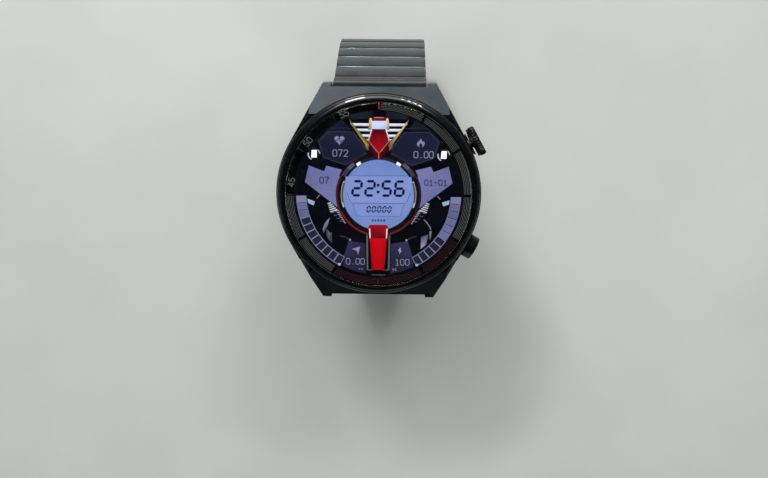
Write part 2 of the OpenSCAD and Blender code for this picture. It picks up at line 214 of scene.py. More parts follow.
def lit_print(name, strength):
    """The lit dial, and the printed ring that glows as painted light: each shape carries its own colour, over
    a faint grid of display dots.
    """
    n = Nodes(name).set(Roughness=0.35, Specular_IOR_Level=0.2)
    paint = n.tree.nodes.new("ShaderNodeAttribute")
    paint.attribute_name = "Col"
    wave = []
    split = n.new("ShaderNodeSeparateXYZ", Vector=n.coord)
    for k in (0, 1):
        turn = n.math("MULTIPLY", split.outputs[k], 2 * pi / 0.00011)
        wave.append(n.math("SINE", turn))
    dots = n.math("ADD", wave[0], wave[1])
    cloud = n.noise(260, (1, 1, 1), 3.0)
    gain = n.math("MULTIPLY", n.span(dots, 0.93, 1.05, -2.0, 2.0), n.span(cloud, 0.94, 1.06))
    glow = n.new("ShaderNodeVectorMath", Vector=paint.outputs[0])
    glow.operation = "SCALE"
    n.link(gain, glow.inputs["Scale"])
    n.link(glow.outputs[0], n.bsdf.inputs["Emission Color"])
    n.bsdf.inputs["Emission Strength"].default_value = strength
    n.bsdf.inputs["Base Color"].default_value = (0.004, 0.004, 0.006, 1)
    return n.mat


def floor_paint(name):
    n = Nodes(name)
    cloud = n.noise(14, (1, 1, 1), 5.0)
    n.colour(n.mix(n.span(cloud, 0.0, 1.0), lin("bec0ba"), lin("c8cac5")))
    n.roughness(n.span(n.noise(60), 0.5, 0.62))
    return n.mat


M = {
    "case": metal("case_finish", "1d2022", "24282b", (0.27, 0.42), (1.2, 14, 14), 700, 0.10),
    "rim": lacquered("rim_finish", "0e1011", "131517", 0.35),
    "link": metal("link_finish", "464b50", "545a5f", (0.26, 0.38), (14, 1.2, 1.2), 700, 0.10),
    "end": metal("end_link_finish", "2b3034", "363b3f", (0.26, 0.38), (14, 1.2, 1.2), 700, 0.10),
    "steel": metal("steel_finish", "8b9094", "a2a7aa", (0.22, 0.38), (3, 3, 3), 1200, 0.10),
    "blade": metal("blade_finish", "858a8f", "9aa0a4", (0.24, 0.36), (12, 1.5, 6), 800, 0.12),
    # dark metal for the clasp pushers; on the crown stem and springs it is painted shade, steel darkened for
    # the shaded gap under the crown
    "dark": metal("dark_finish_and_painted_shade", "1d2022", "272b2e", (0.28, 0.42), (2, 2, 6), 1200, 0.08),
    "back": metal("back_finish", "22262a", "2d3236", (0.34, 0.46), (3, 3, 3), 1500, 0.12),
    "bezel": lacquered("bezel_finish", "030405", "060709", 0.5),
    "crown": lacquered("crown_finish", "040506", "090a0c", 0.12),
    "red": metal("red_finish", "220e15", "2e141d", (0.28, 0.4), (4, 4, 4), 900, 0.06),
    "rubber": moulded("seal_rubber", "101112", "17181a", (0.55, 0.75), 3000, 0.2),
    "plastic": moulded("inner_moulding", "24272a", "2f3336", (0.4, 0.55), 2200, 0.15),
    "chip": moulded("chip_body", "121315", "1b1c1f", (0.35, 0.55), 4000, 0.12),
    "wrap": moulded("battery_foil", "a6abb0", "c0c5c9", (0.25, 0.4), 900, 0.25, 0.7),
    "screen": moulded("panel_finish", "05060a", "0a0c12", (0.2, 0.3), 900, 0.05),
    "board": board("board_mask"),
    "gold": gold_pad("contact_plating"),
    "smoke": smoked_glass("sensor_cover"),
    "glass": clear_glass("cover_clear"),
    "lit": lit_print("dial_light", 1.07),
    # painted light: the printed ring glows, in place of the lamp light it would catch under the glass
    "print": lit_print("ring_print_painted_glow", 1.07),
    "mask": matt_print("mask_black"),
}


# ---- mesh helpers: every form is a stack of equal loops of points, in millimetres ----

class Form:
    def __init__(self):
        self.verts, self.faces, self.paint = [], [], []

    def loft(self, loops, closed=False, tint=None):
        first, n = len(self.verts), len(loops[0])
        for loop in loops:
            self.verts += [tuple(p) for p in loop]
        rows = len(loops)
        start = len(self.faces)
        for i in range(rows if closed else rows - 1):
            a, b = first + i * n, first + (i + 1) % rows * n
            for k in range(n):
                m = (k + 1) % n
                self.faces.append((a + k, a + m, b + m, b + k))
        if not closed:
            self.faces.append(tuple(range(first, first + n)))
            self.faces.append(tuple(range(first + (rows - 1) * n, first + rows * n))[::-1])
        if tint is not None:
            tints = tint if isinstance(tint, list) else [tint] * n
            for face in self.faces[start:]:
                self.paint += [tints[(v - first) % n] for v in face]
        return self

    def build(self, name, body, material, slot, replaces=(), smooth=32):
        mesh = bpy.data.meshes.new(name)
        mesh.from_pydata([[c * MM for c in p] for p in self.verts], [], self.faces)
        if self.paint:
            col = mesh.color_attributes.new("Col", "FLOAT_COLOR", "CORNER")
            for k, value in enumerate(self.paint):
                col.data[k].color = value
        bm = bmesh.new()
        bm.from_mesh(mesh)
        bmesh.ops.recalc_face_normals(bm, faces=bm.faces)
        bm.to_mesh(mesh)
        bm.free()
        mesh.shade_smooth()
        mesh.set_sharp_from_angle(angle=radians(smooth))
        mesh.materials.append(material)
        ob = bpy.data.objects.new(name, mesh)
        bpy.context.scene.collection.objects.link(ob)
        if body:
            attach(ob, body)
        if replaces:
            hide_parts(*replaces)
        return ob


def spot(at, r, w, seg=96):
    """A loop of radius r at height w of a frame (origin, side, up, axis)."""
    o, s, u, a = at
    return [o + s * (r * cos(2 * pi * k / seg)) + u * (r * sin(2 * pi * k / seg)) + a * w
            for k in range(seg)]


def turned(form, at, profile, seg=96):
    """A solid turned about the frame's axis, from the first (radius, height) to the last, capped."""
    return form.loft([spot(at, r, w, seg) for r, w in profile])


def band(form, at, profile, seg=192):
    """A ring turned about the frame's axis from a closed section of (radius, height)."""
    o, s, u, a = at
    loops = []
    for k in range(seg):
        t = 2 * pi * k / seg
        out = s * cos(t) + u * sin(t)
        loops.append([o + out * r + a * w for r, w in profile])
    return form.loft(loops, closed=True)


def arc_points(cy, cz, r, a0, a1, steps):
    return [(cy + r * cos(radians(a0 + (a1 - a0) * i / steps)),
             cz + r * sin(radians(a0 + (a1 - a0) * i / steps))) for i in range(steps + 1)]


def inset(outline, d):
    """The outline of (y, z) points moved inward by d."""
    n, out = len(outline), []
    area = sum(outline[i][0] * outline[(i + 1) % n][1] - outline[(i + 1) % n][0] * outline[i][1]
               for i in range(n))
    sign = 1 if area > 0 else -1
    for i in range(n):
        p, q, r = (Vector(outline[(i + k) % n]) for k in (-1, 0, 1))
        a, b = (q - p).normalized(), (r - q).normalized()
        na, nb = Vector((-a.y, a.x)) * sign, Vector((-b.y, b.x)) * sign
        half = (na + nb).normalized()
        out.append(tuple(q + half * (d / max(0.5, half.dot(na)))))
    return out


def slab(form, at, outline, x0, x1, bevel0=0.0, bevel1=0.0):
    """An outline across the width from x0 to x1, with rounded arrises where a bevel is given."""
    o, y_dir, z_dir = at
    stations = []
    for x, bevel, sign in ((x0, bevel0, 1), (x1, bevel1, -1)):
        ends = [(x, bevel), (x + sign * bevel * 0.3, bevel * 0.3), (x + sign * bevel, 0.0)] if bevel \
            else [(x, 0.0)]
        stations += ends if sign == 1 else ends[::-1]
    loops = []
    for x, d in stations:
        line = inset(outline, d) if d else outline
        loops.append([o + X * x + y_dir * y + z_dir * z for y, z in line])
    return form.loft(loops)


def bolt(form, at, y, z, r, x0, x1, bevel=0.08, hole=0.0):
    """A rod or a tube along X with eased ends."""
    o, y_dir, z_dir = at
    place = (o + y_dir * y + z_dir * z, y_dir, z_dir, X)
    if hole:
        return band(form, place, [(hole, x0), (r - bevel, x0), (r, x0 + bevel), (r, x1 - bevel),
                                  (r - bevel, x1), (hole, x1)], 48)
    return turned(form, place, [(r - bevel, x0), (r, x0 + bevel), (r, x1 - bevel), (r - bevel, x1)], 48)


def place_of(joint):
    return Vector(JOINTS[joint]["pos_m"]) / MM


def extent(node, origin, axis):
    """How far a CAD node reaches along an axis, in millimetres from the origin."""
    reach = [(v.co / MM - origin).dot(axis) for v in frame["nodes"][node].data.vertices]
    return min(reach), max(reach)


def cut(ob, cutters):
    """Takes cutter objects out of an object for good."""
    for c in cutters:
        m = ob.modifiers.new("cut", "BOOLEAN")
        m.operation, m.solver, m.object = "DIFFERENCE", "EXACT", c
    graph = bpy.context.evaluated_depsgraph_get()
    done = bpy.data.meshes.new_from_object(ob.evaluated_get(graph))
    ob.modifiers.clear()
    ob.data = done
    for c in cutters:
        bpy.data.objects.remove(c)


def ease(ob, width, segments=2, angle=35):
    """Eased edges on a sharp-edged solid, with the shading kept flat on its faces."""
    weld = ob.modifiers.new("weld", "WELD")
    weld.merge_threshold = 0.000002
    m = ob.modifiers.new("ease", "BEVEL")
    m.width, m.segments, m.limit_method = width * MM, segments, "ANGLE"
    m.angle_limit, m.harden_normals = radians(angle), True
    m.use_clamp_overlap = True


# ---- reference sizes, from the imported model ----

case_lo, case_hi = (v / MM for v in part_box("case_middle"))
CASE_Z = case_lo.z
CENTRE = Vector((0, 0, CASE_Z))
GLASS_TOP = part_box("cover_glass")[1].z / MM - CASE_Z
GLASS_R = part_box("cover_glass")[1].x / MM
GLASS_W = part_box("cover_glass")[0].z / MM - CASE_Z
BEZEL_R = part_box("bezel_ring")[1].x / MM
BEZEL_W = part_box("bezel_ring")[0].z / MM - CASE_Z
BEZEL_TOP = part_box("bezel_ring")[1].z / MM - CASE_Z
PANEL_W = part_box("display_panel")[1].z / MM - CASE_Z
CASE_H = case_hi.z - CASE_Z
LUG_Y = case_hi.y
DIAL = (CENTRE, Vector((1, 0, 0)), Vector((0, 1, 0)), Vector((0, 0, 1)))

# ---- case ----

FLANK = abs(math.atan2(JOINTS["crown_turn"]["axis"][1], JOINTS["crown_turn"]["axis"][0]))
CASE_R = 23.0
LUG_X = 12.7
FACET_Y, FACET_SLOPE = 18, 21  # the lugs' upper faces: where they start, and their slope
UNDER_REACH, UNDER_SLOPE = 2.4, 40  # the lugs' lower faces: how far from the end they start
SLOT_X, SLOT_Y, SLOT_TOP, OPEN_Y = 10.75, 20.6, 5.4, 23.8  # the room for an end link
EDGE_IN, EDGE_Y = 0.6, 4.5  # where the 45 degree facet over each flank starts
BACK_HOLE_R, CAVITY_R, SEAT_R, SKIRT_CUT = 18.62, 19.2, 20.4, 0.6
CAVITY_W, SEAT_W, SKIRT_W = 1.2, 5.8, 8.0  # the heights where those bores start
STEM_HOLE_R = 2.3


def stem_place(side):
    """The crown's (1) or the button's (-1) frame, found from the middle of a round piece on its stem."""
    axis = Vector((cos(FLANK), side * sin(FLANK), 0))
    lo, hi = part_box("crown_ring" if side > 0 else "button_clip")
    middle = (lo + hi) / 2 / MM
    level = Vector((0, 0, middle.z))
    origin = middle - axis * (middle - level).dot(axis)
    return origin, Vector((-axis.y, axis.x, 0)), Vector((0, 0, 1)), axis


def case_outline():
    """Plan of the case: two round sides, four straight flanks and two flat lug ends."""
    out = []
    side = [(CASE_R * cos(radians(a)), CASE_R * sin(radians(a)))
            for a in [math.degrees(FLANK) * (k / 15 - 1) for k in range(31)]]
    out += side
    out += [(LUG_X, LUG_Y), (-LUG_X, LUG_Y)]
    out += [(-x, -y) for x, y in side]
    out += [(-LUG_X, -LUG_Y), (LUG_X, -LUG_Y)]
    return out


def block(x, y, w, turn=None):
    """A box in case heights, turned by a matrix, used to cut with."""
    form = Form()
    loops = [[Vector((a, b, c)) for a, b in ((x[0], y[0]), (x[1], y[0]), (x[1], y[1]), (x[0], y[1]))]
             for c in w]
    if turn:
        loops = [[turn @ p for p in loop] for loop in loops]
    form.loft([[p + CENTRE for p in loop] for loop in loops])
    return form.build("cutter", None, M["case"], None)


def drum(r, w0, w1, place=DIAL):
    return turned(Form(), place, [(r, w0), (r, w1)], 160).build("cutter", None, M["case"], None)


def make_case():
    form = Form()
    form.loft([[CENTRE + Vector((x, y, w)) for x, y in case_outline()] for w in (0.0, CASE_H)])
    case = form.build("case_shell", None, M["case"], None)
    cutters = []
    far = 60.0
    for s in (1, -1):
        flip = Matrix.Diagonal((1, s, 1, 1))
        facet = (flip @ Matrix.Translation((0, FACET_Y, CASE_H))
                 @ Matrix.Rotation(radians(-FACET_SLOPE), 4, "X"))
        cutters.append(block((-far, far), (0, far), (0, far), facet))
        under = (flip @ Matrix.Translation((0, LUG_Y - UNDER_REACH, 0))
                 @ Matrix.Rotation(radians(UNDER_SLOPE), 4, "X"))
        cutters.append(block((-far, far), (0, far), (-far, 0), under))
        cutters.append(block((-SLOT_X, SLOT_X), (SLOT_Y, far), (-1, SLOT_TOP), flip))
        cutters.append(block((-SLOT_X, SLOT_X), (OPEN_Y, far), (-1, far), flip))
        for q in (1, -1):
            turn = (flip @ Matrix.Diagonal((q, 1, 1, 1)) @ Matrix.Rotation(FLANK, 4, "Z")
                    @ Matrix.Translation((CASE_R - EDGE_IN, EDGE_Y, CASE_H))
                    @ Matrix.Rotation(radians(-45), 4, "Y"))
            cutters.append(block((0, far), (0, far), (-far / 2, far / 2), turn))
    cutters.append(drum(BACK_HOLE_R, -1, CAVITY_W + 0.02))
    cutters.append(drum(CAVITY_R, CAVITY_W, CASE_H + 1))
    cutters.append(drum(SEAT_R, SEAT_W, CASE_H + 1))
    cutters.append(drum(BEZEL_R - SKIRT_CUT, SKIRT_W, CASE_H + 1))
    cutters += [drum(STEM_HOLE_R, 15, 30, stem_place(s)) for s in (1, -1)]
    cut(case, cutters)
    case.data.materials.clear()
    case.data.materials.append(M["case"])
    case.data.shade_smooth()
    case.data.set_sharp_from_angle(angle=radians(20))
    ease(case, 0.1, 2, 20)
    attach(case, "case")
    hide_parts("case_middle")


make_case()


# ---- bezel and glass ----

def rounded(corners, steps=4):
    """A closed section whose corners (r, w, radius) are rounded off."""
    out, n = [], len(corners)
    for i in range(n):
        p, q, r = (Vector(corners[(i + k) % n][:2]) for k in (-1, 0, 1))
        size = corners[i][2]
        if not size:
            out.append(tuple(q))
            continue
        a, b = q + (p - q).normalized() * size, q + (r - q).normalized() * size
        for k in range(steps + 1):
            t = k / steps
            out.append(tuple(a * (1 - t) ** 2 + q * (2 * t * (1 - t)) + b * t ** 2))
    return out


IN = GLASS_R + 0.02
SKIRT_R = 22.2
bezel = band(Form(), DIAL, rounded([
    (IN, BEZEL_W, 0), (SKIRT_R - 0.01, BEZEL_W, 0), (SKIRT_R - 0.01, CASE_H + 0.98, 0.04),
    (BEZEL_R - 1.05, CASE_H + 1.17, 0.12), (IN + 0.25, BEZEL_TOP, 0.1), (IN, BEZEL_TOP - 0.16, 0.05)]), 256)
bezel.build("bezel_black_ring", "case", M["bezel"], "bezel_black", ["bezel_ring"])
skirt = band(Form(), DIAL, rounded([
    (SKIRT_R, CASE_H - 0.9, 0), (BEZEL_R - 0.61, CASE_H - 0.9, 0), (BEZEL_R - 0.61, CASE_H, 0),
    (BEZEL_R, CASE_H, 0.03), (BEZEL_R, CASE_H + 0.85, 0.55), (SKIRT_R, CASE_H + 0.93, 0.02)], 10), 256)
skirt.build("bezel_skirt", "case", M["rim"], "bezel_black", ["bezel_ring"])

G = GLASS_TOP
LENS_R = GLASS_R - 0.03
glass_profile = [(LENS_R - 0.06, GLASS_W), (LENS_R, GLASS_W + 0.06), (LENS_R, G - 0.36),
                 (LENS_R - 0.02, G - 0.25), (LENS_R - 0.06, G - 0.16), (LENS_R - 0.12, G - 0.09),
                 (LENS_R - 0.2, G - 0.03), (LENS_R - 0.3, G)]
turned(Form(), DIAL, glass_profile, 256).build(
    "glass_lens", "case", M["glass"], "cover_glass", ["cover_glass"], 40)
PRINT_R = GLASS_R - 0.022
edge_print = band(Form(), DIAL, [(PRINT_R, GLASS_W - 0.02), (GLASS_R, GLASS_W - 0.02), (GLASS_R, G - 0.34),
                                 (PRINT_R, G - 0.34)], 256)
edge_print.build("glass_edge_print", "case", M["mask"], "cover_glass")


# ---- dial: thin lit shapes under the glass ----

STEP = 0.003
BASE_W = PANEL_W + 0.004


class Dial(Form):
    """Flat shapes in dial millimetres, u to the right and v up, each with a thickness of its own."""

    def __init__(self, base):
        super().__init__()
        self.base = base

    def poly(self, points, tint, level=1):
        tints = [lin(*t) if isinstance(t, tuple) else lin(t) for t in tint] if isinstance(tint, list) \
            else [lin(*tint) if isinstance(tint, tuple) else lin(tint)] * len(points)
        lo, hi = self.base, self.base + STEP * level
        self.loft([[CENTRE + Vector((u, v, w)) for u, v in points] for w in (lo, hi)], tint=tints)

    def bar(self, p, q, width, tint, level=1):
        p, q = Vector(p), Vector(q)
        along = (q - p).normalized()
        s = Vector((-along.y, along.x)) * width / 2
        self.poly([p - s, q - s, q + s, p + s], tint, level)

    def path(self, points, width, tint, level=1):
        for p, q in zip(points, points[1:]):
            d = (Vector(q) - Vector(p)).normalized() * width * 0.3
            self.bar(Vector(p) - d, Vector(q) + d, width, tint, level)

    def arc(self, r0, r1, a0, a1, tint, level=1, centre=(0, 0)):
        n = max(2, int(abs(a1 - a0) / 2.5) + 1)
        u, v = centre
        edge = [(r1, a0 + (a1 - a0) * i / n) for i in range(n + 1)]
        edge += [(r0, a1 + (a0 - a1) * i / n) for i in range(n + 1)]
        self.poly([(u + r * cos(radians(a)), v + r * sin(radians(a))) for r, a in edge], tint, level)

    def disc(self, r, tint, level=1, centre=(0, 0), n=96):
        u, v = centre
        self.poly([(u + r * cos(2 * pi * k / n), v + r * sin(2 * pi * k / n)) for k in range(n)], tint, level)


def mirrored(points):
    return [(-u, v) for u, v in points][::-1]


def across(side, u, v):
    """A point given for the left half, kept there for side 1 and mirrored for -1."""
    return (u * side, v)


def angles_on(side):
    """Angles given for the left half, kept for side 1 and mirrored for -1."""
    return (lambda a: a) if side == 1 else (lambda a: 180 - a)


# seven-segment figures of a liquid-crystal panel
SEGMENTS = {"0": "abcdef", "2": "abged", "5": "afgcd", "6": "afgedc"}


def segment_figure(d, ch, u, v, w, h, t, tint, level, slant=0.0):
    def at(x, y):
        return (u + x + y * slant, v + y)
    g = t * 0.12
    lines = {"a": ((g, h), (w - g, h)), "d": ((g, 0), (w - g, 0)), "g": ((g, h / 2), (w - g, h / 2)),
             "b": ((w, h - g), (w, h / 2 + g)), "c": ((w, h / 2 - g), (w, g)),
             "f": ((0, h - g), (0, h / 2 + g)), "e": ((0, h / 2 - g), (0, g))}
    for key in SEGMENTS[ch]:
        (x0, y0), (x1, y1) = lines[key]
        k = t / 2
        if y0 == y1:
            shape = [at(x0, y0), at(x0 + k, y0 + k), at(x1 - k, y1 + k), at(x1, y1),
                     at(x1 - k, y1 - k), at(x0 + k, y0 - k)]
        else:
            shape = [at(x0, y0), at(x0 + k, y0 - k), at(x1 + k, y1 + k), at(x1, y1),
                     at(x1 - k, y1 + k), at(x0 - k, y0 - k)]
        d.poly(shape, tint, level)


# stroked figures, each a list of lines in a cell 0.6 wide and 1 high
STROKES = {
    "0": [[(0.12, 0.02), (0.48, 0.02), (0.6, 0.2), (0.6, 0.8), (0.48, 0.98), (0.12, 0.98), (0, 0.8),
           (0, 0.2), (0.12, 0.02)]],
    "1": [[(0.1, 0.8), (0.32, 1), (0.32, 0)], [(0.1, 0), (0.54, 0)]],
    "2": [[(0, 0.8), (0.14, 0.98), (0.46, 0.98), (0.6, 0.8), (0.58, 0.6), (0, 0), (0.6, 0)]],
    "4": [[(0.46, 0), (0.46, 1), (0, 0.32), (0.6, 0.32)]],
    "5": [[(0.56, 1), (0.06, 1), (0.02, 0.58), (0.42, 0.6), (0.6, 0.42), (0.6, 0.18), (0.44, 0),
           (0.12, 0), (0, 0.14)]],
    "7": [[(0, 1), (0.6, 1), (0.2, 0)]],
    "-": [[(0.05, 0.48), (0.55, 0.48)]],
    ".": [[(0.26, 0.0), (0.34, 0.08)]],
}


def figures(d, text, u, v, h, tint, level, weight=0.1, turn=0.0, gap=0.84):
    """Stroked figures centred on (u, v), turned by an angle in degrees."""
    width = (len(text) - 1) * gap * h + 0.6 * h
    c, s = cos(radians(turn)), sin(radians(turn))
    for i, ch in enumerate(text):
        for line in STROKES[ch]:
            pts = [(x * h + i * gap * h - width / 2, y * h - h / 2) for x, y in line]
            d.path([(u + x * c - y * s, v + x * s + y * c) for x, y in pts], weight * h, tint, level)


def heart(u, v, size):
    pts = []
    for k in range(40):
        t = 2 * pi * k / 40
        x = 16 * sin(t) ** 3
        y = 13 * cos(t) - 5 * cos(2 * t) - 2 * cos(3 * t) - cos(4 * t)
        pts.append((u + x * size / 32, v + y * size / 32))
    return pts


def scaled(points, u, v, k):
    return [(u + x * k, v + y * k) for x, y in points]


d = Dial(BASE_W)
turned(d, DIAL, [(19.2, BASE_W - 0.003), (19.2, BASE_W)], 128)
d.paint += [lin("010308")] * sum(len(f) for f in d.faces)

NAVY, NAVY_LIT, EDGE = "161a2e", "1c2036", "2e3149"
# broad dark plates behind everything
for side in (1, -1):
    def half(points, s=side):
        return points if s == 1 else mirrored(points)

    d.poly(half([(-14.3, 11.6), (-11.2, 14.7), (-6.2, 14.6), (-8.2, 16.8)]), "15172a", 1)
    d.poly(half([(-6.4, 17.9), (-1.6, 18.7), (-1.6, 17.0), (-6.1, 16.9)]), "181c2c", 1)
    d.poly(half([(-10.9, 14.95), (-5.6, 14.95), (-5.5, 14.85), (-10.9, 14.85)]), "2b2e44", 2)
    # readout panel
    plate = [(-11.15, 14.2), (-5.6, 14.15), (-2.35, 10.1), (-2.6, 9.3), (-7.4, 6.6), (-12.3, 8.3),
             (-13.45, 12.0)]
    d.poly(half(plate), EDGE, 2)
    inner = [(-10.95, 14.0), (-5.75, 13.95), (-2.75, 10.0), (-2.95, 9.45), (-7.45, 6.85), (-12.1, 8.45),
             (-13.15, 11.95)]
    d.poly(half(inner), [NAVY_LIT] * 3 + [NAVY] * 4, 3)
    d.path(half([(-12.4, 12.2), (-11.3, 10.7), (-9.6, 10.65)]), 0.12, "12142a", 4)
    # small lamp with its bright rim
    cx = -14.35 * side
    d.disc(1.45, "0b0d14", 2, (cx, 9.1))
    d.poly([(cx - 0.62, 8.3), (cx + 0.62, 8.3), (cx + 0.66, 10.0), (cx - 0.5, 10.0)], ("f6f8ff", 1.3), 4)
    d.arc(1.15, 1.38, 165, 245, "c9ced8", 4, (cx, 9.05))
    d.arc(1.2, 1.4, 5, 50, "b8bdca", 4, (cx, 9.05))
    # wing panel, wide at the rim and narrow at the ring
    wing = [(-15.5, 6.55), (-12.15, 5.25), (-11.6, 6.5), (-8.1, 5.6), (-8.6, 4.3), (-9.3, 1.0),
            (-9.35, -1.2), (-9.15, -2.85), (-16.4, 2.8)]
    d.poly(half(wing), [("6a70a6", 0.95)] * 2 + [("7378b0", 0.95)] * 3 + [("7c7fae", 0.9)] * 3
           + [("6d719c", 0.9)], 3)
    for y in (1.9, 0.9, 0.0):
        d.path(half([(-14.6 - 0.3 + (1.9 - y) * 1.25, y + 0.55), (-9.3, y - 0.1)]), 0.06, ("6a6e9c", 0.85), 4)
    d.path(half([(-8.1, 5.6), (-8.75, 4.2)]), 0.14, "04050a", 5)
    d.path(half([(-13.15, -0.15), (-13.75, -0.85)]), 0.13, "9a9da0", 3)
    d.path(half([(-17.2, 5.4), (-16.7, 4.9)]), 0.1, "3a3d50", 3)
    # curved gauge of eleven cells
    cells = 3 if side == 1 else 6
    flip = angles_on(side)
    d.arc(16.1, 18.4, flip(181), flip(242), "8486a2", 2)
    for k in range(11):
        a0, a1 = 181 + k * 5.55, 181 + (k + 1) * 5.55
        lit = k < cells
        tone = ("7c7ba6", "666990", "60648c", "6a6d98")[min(k, 3)] if lit else "1d2036"
        pad = 0.12 if lit else 0.4
        edge = 0.02 if lit else 0.14
        d.arc(16.1 + edge, 18.4 - edge, flip(a0 + pad), flip(a1 - pad), tone, 3)
    for k in range(1, cells):
        a = 181 + k * 5.55
        d.arc(16.25, 18.25, flip(a - 0.45), flip(a + 0.2), "2c3050", 4)
        d.arc(16.25, 18.25, flip(a + 0.2), flip(a + 0.4), "9698bc", 4)
    d.poly(half([(-15.85, -1.0), (-14.15, -1.6), (-14.5, -2.45), (-15.7, -1.95)]),
           ["b7d3ea", "7fa0c6", "a9c9e6", "88a8cc"], 4)
    tip = (cos(radians(flip(241.3))), sin(radians(flip(241.3))))
    d.disc(0.32, "a8a6c8", 4, (tip[0] * 18.2, tip[1] * 18.2), 24)
    # a small pack of bright turned fins beside the ring
    for k in range(5):
        t = k / 4
        p = across(side, -11.35 + 0.55 * t, -2.0 - 1.9 * t)
        q = across(side, -10.35 + 1.45 * t - 0.3, -1.85 - 1.5 * t)
        d.bar(p, q, 0.26, ["cfd4da", "eef2f5", "b9bfc8", "868c98"], 4)
    for k in range(8):
        t = k / 7
        p = across(side, -9.55 + 1.9 * t, -3.7 - 2.6 * t)
        q = across(side, -8.85 + 1.5 * t, -3.55 - 2.9 * t)
        d.bar(p, q, 0.19, ["dfe4e8", "9aa2ac", "c3c9d0", "70767f"], 4)
    for k in range(4):
        t = k / 3
        p = across(side, -10.6 + 1.9 * t, -4.1 - 1.9 * t)
        q = across(side, -9.9 + 1.9 * t, -4.0 - 2.0 * t)
        d.bar(p, q, 0.14, "6d6a86", 4)
    # grey blades in the dark field
    if side == 1:
        d.poly([(-10.9, -5.2), (-12.1, -6.6), (-12.5, -7.9), (-12.3, -8.9), (-11.85, -7.9), (-11.3, -6.9)],
               ["8e8ca6", "5c5b74", "6f6e88", "3e3e52", "4a4a60", "62617a"], 3)
        d.poly([(-11.6, -7.8), (-10.9, -8.7), (-10.4, -8.6), (-10.35, -11.1), (-11.2, -10.2), (-11.8, -9.0)],
               ["3c3c50", "6c6b86", "3a3a4e", "34343f", "4a4a58", "2c2c3a"], 3)
    else:
        d.poly([(9.6, -9.4), (11.25, -8.9), (10.75, -11.3), (9.55, -12.2)],
               ["3e3e54", "55556e", "6a6a84", "a2a2b4"], 3)
        d.poly([(11.45, -8.2), (11.95, -8.1), (11.75, -10.2), (11.5, -9.9)],
               ["77778e", "9a9ab0", "3a3a4c", "55556a"], 3)
        d.path([(10.2, -5.5), (10.9, -6.2), (11.5, -7.1), (11.75, -7.7)], 0.2, "84858c", 3)
    # lower readout panel beside the red bar
    low = [(-6.65, -10.45), (-2.85, -11.1), (-2.75, -18.1), (-5.4, -17.5), (-7.9, -16.4), (-7.75, -14.2)]
    d.poly(half(low), ["2f304c", "26263c", "1a1b2c", "20213a", "2a2b45", "30314e"],
           2)
    d.poly(half([(-7.55, -14.15), (-2.85, -14.15), (-2.85, -16.25), (-7.75, -16.25)]), "20213a", 3)
    d.path(half([(-8.6, -9.4), (-7.3, -9.7), (-6.5, -10.25)]), 0.09, "5a5a62", 3)
    d.disc(0.24, "8d8e8a", 4, (-6.35 * side, -10.25), 20)
    d.path(half([(-2.5, -9.3), (-2.4, -17.15)]), 0.34, "585e62", 3)
    d.path(half([(-2.25, -17.2), (-1.2, -17.2)]), 0.12, "6c7072", 3)

# readings on the panels
ICON = "8884b4"
d.poly(heart(-8.7, 12.3, 2.2), ICON, 5)
d.path([(-9.9, 12.2), (-9.1, 12.2), (-8.8, 12.75), (-8.4, 11.7), (-8.1, 12.2), (-7.5, 12.2)], 0.16, NAVY, 6)
figures(d, "072", -8.5, 9.35, 1.45, "8d92ac", 5, 0.1)
flame = [(-0.02, 1.0), (0.25, 0.55), (0.42, 0.2), (0.75, 0.35), (0.9, -0.1), (0.78, -0.6), (0.42, -0.95),
         (0.28, -0.95), (0.42, -0.62), (0.3, -0.32), (0.02, 0.0), (-0.25, -0.32), (-0.4, -0.62),
         (-0.3, -0.95), (-0.5, -0.92), (-0.85, -0.55), (-0.9, -0.1), (-0.62, 0.22), (-0.25, 0.5)]
d.poly(scaled(flame, 9.25, 11.8, 0.95), ICON, 5)
figures(d, "0.00", 9.9, 9.15, 1.45, "8d92ac", 5, 0.1, 0, 0.78)
figures(d, "07", -12.1, 3.25, 1.35, "2c2f52", 5, 0.16)
figures(d, "01-01", 12.7, 2.9, 1.25, "2c2f52", 5, 0.16, 0, 0.84)
d.poly(scaled([(-0.95, 0.15), (0.95, 0.75), (0.45, -1.15), (0.15, -0.2)], -5.0, -12.55, 1.0), "8886ae", 5)
figures(d, "0.00", -5.15, -15.25, 1.4, "8d8fa8", 5, 0.09, 0, 0.78)
d.disc(0.17, "77788e", 5, (-4.2, -17.0), 20)
d.disc(0.17, "77788e", 5, (-3.6, -17.0), 20)
bolt_icon = [(0.1, 1.1), (-0.55, 0.0), (-0.05, 0.02), (-0.2, -1.1), (0.6, 0.2), (0.1, 0.18), (0.35, 0.8)]
d.poly(scaled(bolt_icon, 4.85, -12.75, 0.75), "a09ec2", 5)
figures(d, "100", 5.45, -15.35, 1.4, "8d8fa8", 5, 0.09, 0, 0.82)
d.disc(0.17, "77788e", 5, (3.4, -17.0), 20)
d.path([(3.3, -17.4), (4.1, -16.7)], 0.12, "77788e", 5)
d.disc(0.17, "77788e", 5, (4.0, -17.2), 20)

